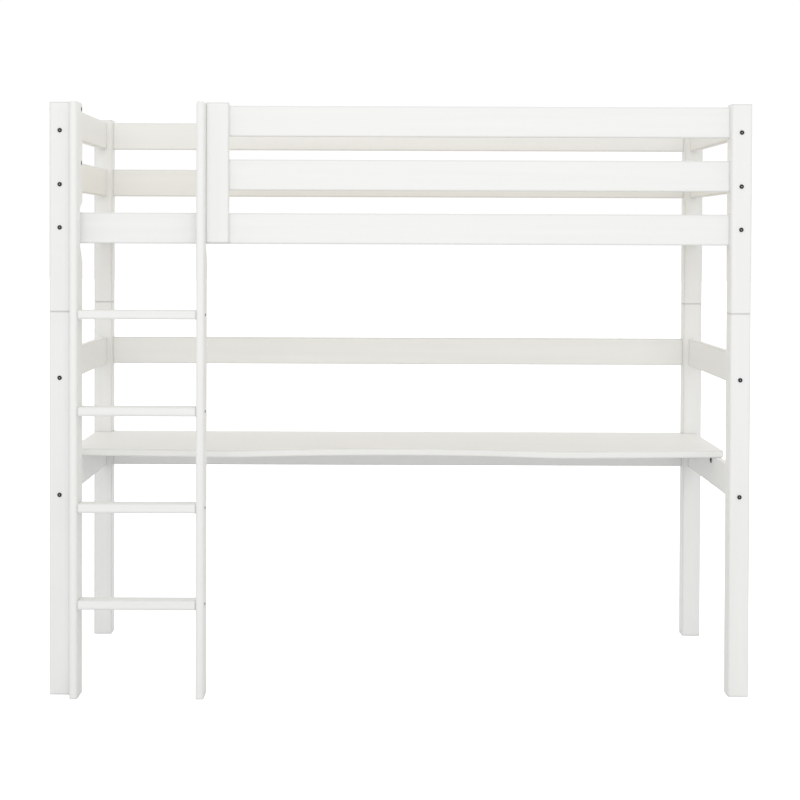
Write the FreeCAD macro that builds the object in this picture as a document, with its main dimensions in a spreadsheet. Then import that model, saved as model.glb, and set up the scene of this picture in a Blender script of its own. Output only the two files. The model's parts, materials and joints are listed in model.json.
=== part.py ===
import FreeCAD, Part
import math
import os
import re
import Sketcher
from FreeCAD import Placement, Rotation, Vector

# Loft bed with a desk under it, in millimetres.
# The bed's length runs along X, the ladder stands at the front (-Y), and Z is up.
# The origin is on the floor, in the middle of the whole object.

DIMENSIONS = {
    # overall frame
    "left_face_x": -1045.0,
    "front_face_y": -472.0,
    "overall_length": 2090.0,
    "overall_width": 1000.0,
    "overall_height": 1770.0,
    # corner posts, each a lower and an upper length
    "post_width": 62.0,
    "post_depth": 74.0,
    "post_edge_radius": 5.0,
    "post_top_radius": 2.0,
    "post_seam_radius": 2.5,
    "lower_post_height": 1146.0,
    # rails, and the height of each one's lower edge
    "rail_height": 92.0,
    "rail_thickness": 24.0,
    "rail_edge_radius": 4.0,
    "top_rail_level": 1670.0,
    "guard_rail_level": 1509.5,
    "bed_rail_level": 1349.5,
    "middle_rail_level": 933.0,
    "desk_rail_level": 583.5,
    # heights of bolts and dowels above a rail's lower edge
    "low_hole_height": 15.5,
    "centre_hole_height": 47.0,
    "high_hole_height": 76.5,
    # bolts, nuts, dowels and screws
    "bolt_diameter": 6.0,
    "bolt_bore": 7.0,
    "bolt_head_diameter": 13.0,
    "bolt_head_height": 3.0,
    "bolt_head_edge": 1.0,
    "bolt_socket_width": 4.0,
    "bolt_socket_depth": 2.2,
    "bolt_bite": 44.0,
    "bolt_tip_gap": 4.0,
    "nut_diameter": 10.0,
    "nut_bore": 10.2,
    "nut_length": 14.0,
    "nut_thread": 6.2,
    "nut_setback": 38.0,
    "nut_bore_depth": 19.5,
    "dowel_diameter": 8.0,
    "dowel_bore": 8.2,
    "dowel_length": 30.0,
    "dowel_hole_depth": 15.5,
    "dowel_tip_gap": 0.5,
    "stud_diameter": 10.0,
    "stud_bore": 10.2,
    "stud_length": 120.0,
    "stud_hole_depth": 61.0,
    "screw_diameter": 4.0,
    "screw_bore": 4.2,
    "screw_head_diameter": 8.0,
    "screw_head_height": 1.5,
    "screw_tip_gap": 1.0,
    "long_screw_length": 34.0,
    "short_screw_length": 15.0,
    # guard board beside the ladder
    "board_left": 466.0,
    "board_width": 68.0,
    "board_thickness": 25.0,
    "board_bottom": 1352.0,
    "board_edge_radius": 3.0,
    "board_screw_spread": 34.0,
    "board_screw_depth": 11.0,
    # ladder
    "stringer_thickness": 24.0,
    "stringer_front": -59.0,
    "stringer_back": 50.0,
    "left_stringer_x": 68.0,
    "right_stringer_x": 442.0,
    "stringer_edge_radius": 7.0,
    "stringer_corner_radius": 12.0,
    "notch_floor": 5.0,
    "notch_lead_bottom": 1294.0,
    "notch_bottom": 1345.0,
    "notch_top": 1452.0,
    "notch_lead_top": 1470.0,
    "rung_length": 350.0,
    "rung_thickness": 27.5,
    "rung_depth": 76.0,
    "rung_front": -57.0,
    "rung_edge_radius": 8.0,
    "first_rung_top": 291.5,
    "rung_pitch": 287.0,
    "rung_dowel_spread": 44.0,
    "rung_dowel_depth": 12.5,
    "rung_dowel_bite": 18.5,
    "rung_screw_bite": 11.0,
    "ladder_gap": 6.0,
    "ladder_bolt_y": 25.0,
    "ladder_bolt_height": 79.5,
    "ladder_bolt_sink": 2.0,
    "ladder_bolt_recess": 13.6,
    "spacer_diameter": 20.0,
    "sleeve_diameter": 8.0,
    "sleeve_bore": 8.2,
    "sleeve_length": 20.0,
    # desk top
    "desk_left": 2.0,
    "desk_length": 2074.0,
    "desk_thickness": 23.0,
    "desk_edge_radius": 4.0,
    "desk_corner_radius": 10.0,
    "desk_back": 975.0,
    "desk_notch_front": 924.0,
    "desk_notch_gap": 2.0,
    "desk_end_front": 379.0,
    "desk_lobe_front": 333.0,
    "desk_middle_front": 410.0,
    "desk_lobe_offset": 535.0,
    "desk_lobe_radius": 330.0,
    # desk brackets
    "bracket_leg": 22.0,
    "bracket_plate": 2.5,
    "bracket_width": 16.0,
    "bracket_hole": 13.0,
    "left_front_bracket_y": 640.0,
    "left_rear_bracket_y": 870.0,
    "right_front_bracket_y": 446.0,
    "right_rear_bracket_y": 800.0,
    "bracket_side_x": 700.0,
    # slatted base
    "bearer_height": 40.0,
    "bearer_thickness": 22.0,
    "bearer_level": 1352.0,
    "bearer_screw_height": 20.0,
    "slat_width": 80.0,
    "slat_thickness": 18.0,
    "slat_length": 896.0,
    "slat_edge_radius": 3.0,
    "slat_pitch": 165.0,
    "slat_first_offset": 907.5,
    "slat_screw_sink": 2.0,
    "slat_screw_recess": 8.6,
}
SLAT_COUNT = 12
RUNG_COUNT = 4

doc = FreeCAD.newDocument("loft_bed_with_desk")
sheet = doc.addObject("Spreadsheet::Sheet", "Dimensions")
for row, (alias, size) in enumerate(DIMENSIONS.items(), start=1):
    sheet.set("A%d" % row, alias)
    sheet.set("B%d" % row, "%g" % size)
    sheet.setAlias("B%d" % row, alias)
doc.recompute()

nodes = []


def amount(text):
    """Value of a sum such as 'bed_rail_level + rail_height/2', from the table above."""
    total = 0.0
    sign = 1.0
    for word in text.split():
        if word in ("+", "-"):
            sign = -1.0 if word == "-" else 1.0
            continue
        name, _, divisor = word.partition("/")
        name, _, factor = name.partition("*")
        size = DIMENSIONS[name] if name in DIMENSIONS else float(name)
        total += sign * size * float(factor or 1.0) / float(divisor or 1.0)
        sign = 1.0
    return total


def formula(text):
    """The same sum, written as an expression on the spreadsheet."""
    return re.sub(r"[a-z][a-z_]+", lambda found: "Dimensions." + found.group(), text)


def negated(text):
    """The same sum with every sign turned round. It always begins with a sign."""
    words = text.split()
    if words[0] not in ("+", "-"):
        words.insert(0, "+")
    turned = {"+": "-", "-": "+"}
    return " ".join(turned.get(word, word) for word in words)


def place(item, x, y, z, turn=0.0, axis=Vector(0, 0, 1)):
    """Turn an object, and tie its position to the spreadsheet."""
    item.Placement = Placement(Vector(amount(x), amount(y), amount(z)), Rotation(axis, turn))
    for name, text in (("x", x), ("y", y), ("z", z)):
        item.setExpression("Placement.Base." + name, formula(text))


def new_body(label):
    body = doc.addObject("PartDesign::Body", label)
    body.Label = label
    return body


def new_sketch(body, name, plane_role, offset="0"):
    """A sketch on one of the body's own origin planes, moved along that plane's normal."""
    sketch = body.newObject("Sketcher::SketchObject", name)
    planes = [item for item in body.Origin.OriginFeatures if item.Role == plane_role]
    sketch.AttachmentSupport = (planes[0], [""])
    sketch.MapMode = "FlatFace"
    sketch.AttachmentOffset = Placement(Vector(0, 0, amount(offset)), Rotation())
    sketch.setExpression("AttachmentOffset.Base.z", formula(offset))
    return sketch


def limit(sketch, name, text, *arguments):
    """Add a constraint whose size comes from the spreadsheet."""
    kind, *geometry = arguments
    index = sketch.addConstraint(Sketcher.Constraint(kind, *geometry, amount(text)))
    sketch.renameConstraint(index, name)
    sketch.setExpression("Constraints." + name, formula(text))


def join(sketch, kind, *geometry):
    sketch.addConstraint(Sketcher.Constraint(kind, *geometry))


def rounded_rectangle(sketch, width, height, radius):
    """A rectangle with round corners, centred on the sketch's origin."""
    half_w = amount(width) / 2.0
    half_h = amount(height) / 2.0
    corner = amount(radius)
    flat_w = half_w - corner
    flat_h = half_h - corner
    sides = (
        ((-flat_w, -half_h), (flat_w, -half_h)),
        ((half_w, -flat_h), (half_w, flat_h)),
        ((flat_w, half_h), (-flat_w, half_h)),
        ((-half_w, flat_h), (-half_w, -flat_h)),
    )
    for start, end in sides:
        sketch.addGeometry(Part.LineSegment(Vector(*start, 0), Vector(*end, 0)), False)
    centres = ((flat_w, -flat_h), (flat_w, flat_h), (-flat_w, flat_h), (-flat_w, -flat_h))
    for quarter, centre in enumerate(centres):
        start_angle = math.radians(-90.0 + 90.0 * quarter)
        circle = Part.Circle(Vector(*centre, 0), Vector(0, 0, 1), corner)
        arc = Part.ArcOfCircle(circle, start_angle, start_angle + math.pi / 2.0)
        sketch.addGeometry(arc, False)
    for side in range(4):
        join(sketch, "Tangent", side, 2, 4 + side, 1)
        join(sketch, "Tangent", 4 + side, 2, (side + 1) % 4, 1)
        join(sketch, "Vertical" if side % 2 else "Horizontal", side)
    for arc in (5, 6, 7):
        join(sketch, "Equal", 4, arc)
    limit(sketch, "Corner", radius, "Radius", 4)
    limit(sketch, "Width", width, "DistanceX", 3, 2, 1, 1)
    limit(sketch, "HalfWidth", width + "/2", "DistanceX", 3, 2, -1, 1)
    limit(sketch, "Height", height, "DistanceY", 0, 1, 2, 1)
    limit(sketch, "HalfHeight", height + "/2", "DistanceY", 0, 1, -1, 1)


def coordinate(sketch, name, text, kind, geometry, point):
    """Hold one coordinate of a point at a distance from the sketch's origin."""
    if abs(amount(text)) < 1e-9:
        join(sketch, "PointOnObject", geometry, point, -2 if kind == "DistanceX" else -1)
    else:
        limit(sketch, name, text, kind, -1, 1, geometry, point)


def polygon(sketch, corners):
    """A closed outline through corners given as pairs of sums."""
    points = [Vector(amount(x), amount(y), 0) for x, y in corners]
    count = len(points)
    for index in range(count):
        line = Part.LineSegment(points[index], points[(index + 1) % count])
        sketch.addGeometry(line, False)
    for index in range(count):
        join(sketch, "Coincident", index, 2, (index + 1) % count, 1)
    for index, (x, y) in enumerate(corners):
        coordinate(sketch, "X%d" % index, x, "DistanceX", index, 1)
        coordinate(sketch, "Y%d" % index, y, "DistanceY", index, 1)


def pad(body, sketch, length):
    feature = body.newObject("PartDesign::Pad", sketch.Name + "_pad")
    feature.Profile = sketch
    feature.Length = amount(length)
    feature.setExpression("Length", formula(length))
    sketch.Visibility = False
    doc.recompute()
    return feature


def drill(body, name, plane_role, start, towards, centres, diameter, depth):
    """Cut equal round holes. start is the plane's position, towards is +1 or -1 along its axis."""
    along_normal = -1.0 if plane_role == "XZ_Plane" else 1.0
    offset = start if along_normal > 0 else negated(start)
    sketch = new_sketch(body, name, plane_role, offset)
    for index, (x, y) in enumerate(centres):
        centre = Vector(amount(x), amount(y), 0)
        circle = Part.Circle(centre, Vector(0, 0, 1), amount(diameter) / 2.0)
        sketch.addGeometry(circle, False)
        coordinate(sketch, "X%d" % index, x, "DistanceX", index, 3)
        coordinate(sketch, "Y%d" % index, y, "DistanceY", index, 3)
        limit(sketch, "Size%d" % index, diameter, "Diameter", index)
    pocket = body.newObject("PartDesign::Pocket", name + "_pocket")
    pocket.Profile = sketch
    pocket.Length = amount(depth)
    pocket.setExpression("Length", formula(depth))
    pocket.Reversed = towards * along_normal > 0
    sketch.Visibility = False
    return pocket


def edge_names(shape, wanted):
    """Names of the edges for which wanted(edge) is true."""
    return ["Edge%d" % number for number, edge in enumerate(shape.Edges, start=1) if wanted(edge)]


def round_edges(body, feature, radius, wanted, name):
    fillet = body.newObject("PartDesign::Fillet", name)
    fillet.Base = (feature, edge_names(feature.Shape, wanted))
    fillet.Radius = amount(radius)
    fillet.setExpression("Radius", formula(radius))
    doc.recompute()
    return fillet


def lies_at(edge, axis, position):
    """True when the whole edge lies in the plane at this position along the axis."""
    box = edge.BoundBox
    low = getattr(box, axis + "Min")
    high = getattr(box, axis + "Max")
    return abs(low - position) < 1e-6 and abs(high - position) < 1e-6


# Masters of the hardware. Each lies along +X and is copied to its places further down.


def revolved_master(label, outline):
    """A turned piece about the X axis, from an outline of (x, radius) sums."""
    body = new_body(label)
    sketch = new_sketch(body, label + "_outline", "XY_Plane")
    polygon(sketch, outline)
    turned = body.newObject("PartDesign::Revolution", label + "_turned")
    turned.Profile = sketch
    turned.ReferenceAxis = (sketch, ["H_Axis"])
    turned.Angle = 360.0
    doc.recompute()
    return body


def bolt_master(label, length):
    body = revolved_master(label, (
        ("- bolt_head_height", "0"),
        ("- bolt_head_height", "bolt_head_diameter/2 - bolt_head_edge"),
        ("- bolt_head_height + bolt_head_edge", "bolt_head_diameter/2"),
        ("0", "bolt_head_diameter/2"),
        ("0", "bolt_diameter/2"),
        (length, "bolt_diameter/2"),
        (length, "0"),
    ))
    sketch = new_sketch(body, label + "_socket", "YZ_Plane", "- bolt_head_height")
    across_corners = amount("bolt_socket_width/2") / math.cos(math.pi / 6.0)
    corners = [
        Vector(across_corners * math.cos(turn), across_corners * math.sin(turn), 0)
        for turn in (math.pi / 3.0 * step for step in range(6))
    ]
    for side in range(6):
        sketch.addGeometry(Part.LineSegment(corners[side], corners[(side + 1) % 6]), False)
    sketch.addGeometry(Part.Circle(Vector(0, 0, 0), Vector(0, 0, 1), across_corners), True)
    for side in range(6):
        join(sketch, "Coincident", side, 2, (side + 1) % 6, 1)
        join(sketch, "PointOnObject", side, 1, 6)
    for side in range(1, 6):
        join(sketch, "Equal", 0, side)
    join(sketch, "Coincident", 6, 3, -1, 1)
    join(sketch, "PointOnObject", 0, 1, -1)
    limit(sketch, "AcrossFlats", "bolt_socket_width", "Distance", 1, 1, 4)
    pocket = body.newObject("PartDesign::Pocket", label + "_socket_pocket")
    pocket.Profile = sketch
    pocket.Length = amount("bolt_socket_depth")
    pocket.setExpression("Length", formula("bolt_socket_depth"))
    pocket.Reversed = True
    doc.recompute()
    return body


def screw_master(label, length):
    return revolved_master(label, (
        ("- screw_head_height", "0"),
        ("- screw_head_height", "screw_diameter/2 + bolt_head_edge"),
        ("- screw_head_height/3", "screw_head_diameter/2"),
        ("0", "screw_head_diameter/2"),
        ("0", "screw_diameter/2"),
        (length + " - screw_diameter", "screw_diameter/2"),
        (length, "0"),
    ))


def barrel_nut_master():
    """A cylinder along Y with a cross hole along X for the bolt."""
    body = new_body("barrel_nut_master")
    sketch = new_sketch(body, "barrel_nut_circle", "XZ_Plane", "- nut_length/2")
    sketch.addGeometry(Part.Circle(Vector(0, 0, 0), Vector(0, 0, 1), amount("nut_diameter/2")), False)
    join(sketch, "Coincident", 0, 3, -1, 1)
    limit(sketch, "Size", "nut_diameter", "Diameter", 0)
    pad(body, sketch, "nut_length")
    drill(body, "barrel_nut_thread", "YZ_Plane", "- nut_diameter", 1, (("0", "0"),),
          "nut_thread", "nut_diameter*2")
    doc.recompute()
    return body


long_bolt = bolt_master("post_bolt_master", "post_depth + bolt_bite")
side_bolt = bolt_master("side_bolt_master", "post_width + bolt_bite")
stringer_rail_bolt = bolt_master("stringer_rail_bolt_master", "stringer_thickness + bolt_bite")
stringer_post_bolt = bolt_master(
    "stringer_post_bolt_master",
    "left_stringer_x + stringer_thickness - ladder_bolt_sink - bolt_head_height",
)
barrel_nut = barrel_nut_master()
long_screw = screw_master("long_screw_master", "long_screw_length")
short_screw = screw_master("short_screw_master", "short_screw_length")
dowel = revolved_master("dowel_master", (
    ("- dowel_length/2", "0"),
    ("- dowel_length/2", "dowel_diameter/2 - bolt_head_edge"),
    ("- dowel_length/2 + bolt_head_edge", "dowel_diameter/2"),
    ("dowel_length/2 - bolt_head_edge", "dowel_diameter/2"),
    ("dowel_length/2", "dowel_diameter/2 - bolt_head_edge"),
    ("dowel_length/2", "0"),
))
stud = revolved_master("stud_master", (
    ("- stud_length/2", "0"),
    ("- stud_length/2", "stud_diameter/2"),
    ("stud_length/2", "stud_diameter/2"),
    ("stud_length/2", "0"),
))
sleeve_nut = revolved_master("sleeve_nut_master", (
    ("- bolt_head_height", "0"),
    ("- bolt_head_height", "bolt_head_diameter/2 - bolt_head_edge"),
    ("- bolt_head_height + bolt_head_edge", "bolt_head_diameter/2"),
    ("0", "bolt_head_diameter/2"),
    ("0", "sleeve_diameter/2"),
    ("sleeve_length", "sleeve_diameter/2"),
    ("sleeve_length", "nut_thread/2"),
    ("bolt_head_height - bolt_head_edge", "nut_thread/2"),
    ("bolt_head_height - bolt_head_edge", "0"),
))
spacer = revolved_master("spacer_master", (
    ("0", "bolt_bore/2"),
    ("0", "spacer_diameter/2"),
    ("ladder_gap", "spacer_diameter/2"),
    ("ladder_gap", "bolt_bore/2"),
))

groups = {}
TURNS = {"+X": 0.0, "+Y": 90.0, "-X": 180.0, "-Y": 270.0}


def copy_to(group, master, direction, x, y, z):
    """Put one more copy of a master into a named group, lying along a level direction."""
    copies = groups.setdefault(group, [])
    link = doc.addObject("App::Link", "%s_%02d" % (group, len(copies) + 1))
    link.LinkedObject = master
    link.LinkTransform = False
    place(link, x, y, z, TURNS[direction])
    copies.append(link)
    return link


def copy_upright(group, master, x, y, z, upwards=True):
    """The same, but standing along Z."""
    link = copy_to(group, master, "+X", x, y, z)
    turn = Rotation(Vector(0, 1, 0), -90.0 if upwards else 90.0)
    link.Placement = Placement(link.Placement.Base, turn)
    return link


# Corner posts. Every rail end is held by bolts and dowels, so the posts are drilled to match.

LOWER_RAILS = ("desk_rail_level", "middle_rail_level")
UPPER_RAILS = ("bed_rail_level", "guard_rail_level", "top_rail_level")
# The ladder stands beside the left front post at these two rails' heights.
LADDER_LEVELS = ("guard_rail_level", "top_rail_level")
LADDER_BOLT_HEIGHTS = [level + " + ladder_bolt_height" for level in LADDER_LEVELS]


def end_rail_holes(level):
    """Heights of the bolts and of the dowels of a rail across the bed's end."""
    if level == "bed_rail_level":
        return ("centre_hole_height",), ("low_hole_height", "high_hole_height")
    return ("low_hole_height",), ("high_hole_height",)


def long_rail_holes(level):
    """Heights of the bolts and of the dowels of a rail along the bed."""
    if level == "bed_rail_level":
        return ("low_hole_height", "high_hole_height"), ("centre_hole_height",)
    return ("high_hole_height",), ("low_hole_height",)


def heights(levels, holes, kind, bottom):
    """Sums for the heights of all bolts (kind 0) or dowels (kind 1) above a post's own foot."""
    found = []
    for level in levels:
        for hole in holes(level)[kind]:
            found.append("%s + %s - %s" % (level, hole, bottom))
    return found


def post(side, end, part):
    """One length of a corner post, drawn about its own centre line."""
    is_lower = part == "lower"
    label = "%s_%s_%s_post" % (end, side, part)
    body = new_body(label)
    bottom = "0" if is_lower else "lower_post_height"
    height = "lower_post_height" if is_lower else "overall_height - lower_post_height"
    outline = new_sketch(body, label + "_outline", "XY_Plane")
    rounded_rectangle(outline, "post_width", "post_depth", "post_edge_radius")
    block = pad(body, outline, height)
    top = amount(height)
    top_radius = "post_seam_radius" if is_lower else "post_top_radius"
    softened = round_edges(body, block, top_radius,
                           lambda edge: lies_at(edge, "Z", top), label + "_top_edge")
    round_edges(body, softened, "post_seam_radius",
                lambda edge: lies_at(edge, "Z", 0.0), label + "_foot_edge")

    inward_x = 1 if side == "left" else -1
    inward_y = 1 if end == "front" else -1
    levels = LOWER_RAILS if is_lower else UPPER_RAILS
    drill(body, label + "_end_bolts", "XZ_Plane", "- post_depth", 1,
          [("0", z) for z in heights(levels, end_rail_holes, 0, bottom)],
          "bolt_bore", "post_depth*2")
    start_y = "post_depth/2 - dowel_hole_depth"
    drill(body, label + "_end_dowels", "XZ_Plane", start_y if inward_y > 0 else negated(start_y),
          inward_y, [("0", z) for z in heights(levels, end_rail_holes, 1, bottom)],
          "dowel_bore", "dowel_hole_depth*2")

    long_levels = [level for level in levels if has_long_rail(side, end, level)]
    bolt_heights = heights(long_levels, long_rail_holes, 0, bottom)
    if side == "left" and end == "front" and not is_lower:
        ladder_points = [("ladder_bolt_y - post_depth/2", z + " - lower_post_height")
                         for z in LADDER_BOLT_HEIGHTS]
        drill(body, label + "_ladder_bolts", "YZ_Plane", "- post_width", 1,
              ladder_points, "bolt_bore", "post_width*2")
        drill(body, label + "_sleeves", "YZ_Plane", "- post_width/2", 1,
              ladder_points, "sleeve_bore", "sleeve_length")
    if bolt_heights:
        drill(body, label + "_side_bolts", "YZ_Plane", "- post_width", 1,
              [("0", z) for z in bolt_heights], "bolt_bore", "post_width*2")
    dowel_heights = heights(long_levels, long_rail_holes, 1, bottom)
    if dowel_heights:
        start_x = "post_width/2 - dowel_hole_depth"
        drill(body, label + "_side_dowels", "YZ_Plane",
              start_x if inward_x > 0 else negated(start_x),
              inward_x, [("0", z) for z in dowel_heights], "dowel_bore", "dowel_hole_depth*2")
    if is_lower:
        drill(body, label + "_stud", "XY_Plane", "lower_post_height", -1, (("0", "0"),),
              "stud_bore", "stud_hole_depth")
    else:
        drill(body, label + "_stud", "XY_Plane", "0", 1, (("0", "0"),),
              "stud_bore", "stud_hole_depth")
    place(body, post_x(side), post_y(end), bottom)
    nodes.append(body)


def has_long_rail(side, end, level):
    """The front has no middle or desk rail, and its guard rails stop at the ladder."""
    if end == "rear" or level == "bed_rail_level":
        return True
    return side == "right" and level in LADDER_LEVELS


def post_x(side):
    return "left_face_x + post_width/2" if side == "left" else "- left_face_x - post_width/2"


def post_y(end):
    if end == "front":
        return "front_face_y + post_depth/2"
    return "front_face_y + overall_width - post_depth/2"


for post_side in ("left", "right"):
    for post_end in ("front", "rear"):
        post(post_side, post_end, "lower")
        post(post_side, post_end, "upper")
        copy_upright("post_joint_studs", stud, post_x(post_side), post_y(post_end),
                     "lower_post_height")


# Rails. Each is drawn along its own X from 0, with the nut bores open towards its own +Y.

OPPOSITE = {"+X": "-X", "-X": "+X", "+Y": "-Y", "-Y": "+Y"}


def rail_point(direction, start, along):
    """World position of a point at this distance along a rail's centre line."""
    x, y = start
    if direction == "+X":
        return x + " + " + along, y
    if direction == "+Y":
        return x, y + " + " + along
    return x, y + " " + negated(along)


def rail(label, level, direction, start, length, holes, bolt, start_support, end_support):
    """A rail with a bolt, a barrel nut and a dowel at each end, and the copies that fill them.

    start_support and end_support are the thicknesses that the bolts pass through first.
    """
    body = new_body(label)
    outline = new_sketch(body, label + "_outline", "YZ_Plane")
    rounded_rectangle(outline, "rail_thickness", "rail_height", "rail_edge_radius")
    pad(body, outline, length)
    bolt_heights, dowel_heights = holes(level)
    bolt_points = [("0", hole + " - rail_height/2") for hole in bolt_heights]
    dowel_points = [("0", hole + " - rail_height/2") for hole in dowel_heights]
    bolt_depth = "bolt_bite + bolt_tip_gap"
    drill(body, label + "_start_bolts", "YZ_Plane", "0", 1, bolt_points, "bolt_bore", bolt_depth)
    drill(body, label + "_end_bolts", "YZ_Plane", length, -1, bolt_points, "bolt_bore", bolt_depth)
    drill(body, label + "_start_dowels", "YZ_Plane", "0", 1, dowel_points,
          "dowel_bore", "dowel_hole_depth")
    drill(body, label + "_end_dowels", "YZ_Plane", length, -1, dowel_points,
          "dowel_bore", "dowel_hole_depth")
    nut_points = []
    for hole in bolt_heights:
        nut_points.append(("nut_setback", hole + " - rail_height/2"))
        nut_points.append((length + " - nut_setback", hole + " - rail_height/2"))
    drill(body, label + "_nuts", "XZ_Plane", "rail_thickness/2", -1, nut_points,
          "nut_bore", "nut_bore_depth")
    x, y = start
    place(body, x, y, level + " + rail_height/2", TURNS[direction])
    nodes.append(body)

    for hole in bolt_heights:
        z = level + " + " + hole
        x, y = rail_point(direction, start, "nut_setback")
        copy_to("barrel_nuts", barrel_nut, direction, x, y, z)
        x, y = rail_point(direction, start, length + " - nut_setback")
        copy_to("barrel_nuts", barrel_nut, direction, x, y, z)
        for support, far_end, heading in (
            (start_support, False, direction), (end_support, True, OPPOSITE[direction])
        ):
            group, master, thickness = support if isinstance(support, tuple) else bolt + (support,)
            reach = length + " + " + thickness if far_end else "0 - " + thickness
            x, y = rail_point(direction, start, reach)
            copy_to(group, master, heading, x, y, z)
    for hole in dowel_heights:
        z = level + " + " + hole
        for along in ("0", length):
            x, y = rail_point(direction, start, along)
            copy_to("dowels", dowel, direction, x, y, z)
    return body


SHORT_NAMES = {
    "top_rail_level": "top_rail",
    "guard_rail_level": "guard_rail",
    "bed_rail_level": "bed_rail",
    "middle_rail_level": "middle_rail",
    "desk_rail_level": "desk_rail",
}
END_RAIL_LENGTH = "overall_width - post_depth*2"
LONG_RAIL_LENGTH = "overall_length - post_width*2"
SHORT_RAIL_LENGTH = "overall_length - right_stringer_x - stringer_thickness - post_width"
rails = {}
for rail_level, short_name in SHORT_NAMES.items():
    rails["left", rail_level] = rail(
        "left_end_" + short_name, rail_level, "+Y",
        (post_x("left"), "front_face_y + post_depth"), END_RAIL_LENGTH,
        end_rail_holes, ("post_bolts", long_bolt), "post_depth", "post_depth",
    )
    rails["right", rail_level] = rail(
        "right_end_" + short_name, rail_level, "-Y",
        (post_x("right"), "front_face_y + overall_width - post_depth"), END_RAIL_LENGTH,
        end_rail_holes, ("post_bolts", long_bolt), "post_depth", "post_depth",
    )
    rails["rear", rail_level] = rail(
        "rear_" + short_name, rail_level, "+X",
        ("left_face_x + post_width", post_y("rear")), LONG_RAIL_LENGTH,
        long_rail_holes, ("side_bolts", side_bolt), "post_width", "post_width",
    )
rails["front", "bed_rail_level"] = rail(
    "front_bed_rail", "bed_rail_level", "+X",
    ("left_face_x + post_width", post_y("front")), LONG_RAIL_LENGTH,
    long_rail_holes, ("side_bolts", side_bolt), "post_width", "post_width",
)
for rail_level in LADDER_LEVELS:
    rails["front", rail_level] = rail(
        "front_" + SHORT_NAMES[rail_level], rail_level, "+X",
        ("left_face_x + right_stringer_x + stringer_thickness", post_y("front")),
        SHORT_RAIL_LENGTH, long_rail_holes, ("side_bolts", side_bolt),
        ("ladder_bolts", stringer_rail_bolt, "stringer_thickness"), "post_width",
    )


# Guard board that closes the guard rails beside the ladder, screwed on from behind.

BOARD_SCREW_LEVELS = (
    ("bed_rail_level", "centre_hole_height"),
    ("guard_rail_level", "centre_hole_height"),
    ("top_rail_level", "centre_hole_height"),
)
board = new_body("guard_board")
board_outline = new_sketch(board, "guard_board_outline", "XY_Plane")
rounded_rectangle(board_outline, "board_width", "board_thickness", "board_edge_radius")
board_height = "overall_height - board_bottom"
board_block = pad(board, board_outline, board_height)
board_top = amount(board_height)
round_edges(board, board_block, "board_edge_radius",
            lambda edge: lies_at(edge, "Z", board_top) or lies_at(edge, "Z", 0.0),
            "guard_board_end_edges")
board_points = []
for screw_level, screw_hole in BOARD_SCREW_LEVELS:
    for screw_x in ("- board_screw_spread/2", "board_screw_spread/2"):
        board_points.append((screw_x, "%s + %s - board_bottom" % (screw_level, screw_hole)))
drill(board, "guard_board_screws", "XZ_Plane", "board_thickness/2", -1, board_points,
      "screw_bore", "board_screw_depth")
place(board, "left_face_x + board_left + board_width/2",
      "front_face_y + board_thickness/2", "board_bottom")
nodes.append(board)
for screw_level, screw_hole in BOARD_SCREW_LEVELS:
    rail_start = "post_width"
    if screw_level != "bed_rail_level":
        rail_start = "right_stringer_x + stringer_thickness"
    rail_points = []
    for sign in (" - ", " + "):
        middle = "board_left + board_width/2" + sign + "board_screw_spread/2"
        rail_points.append((middle + " " + negated(rail_start), screw_hole + " - rail_height/2"))
        copy_to("long_screws", long_screw, "-Y", "left_face_x + " + middle,
                "front_face_y + post_depth/2 + rail_thickness/2", screw_level + " + " + screw_hole)
    drill(rails["front", screw_level], "board_screws_" + SHORT_NAMES[screw_level], "XZ_Plane",
          "rail_thickness/2", -1, rail_points, "screw_bore", "rail_thickness*2")


# Ladder: two stringers notched round the bed rail, and four flat rungs.

RUNG_CENTRE_Y = "rung_front + rung_depth/2"


def rung_middle(number):
    return "first_rung_top - rung_thickness/2 + rung_pitch*%d" % number


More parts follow.
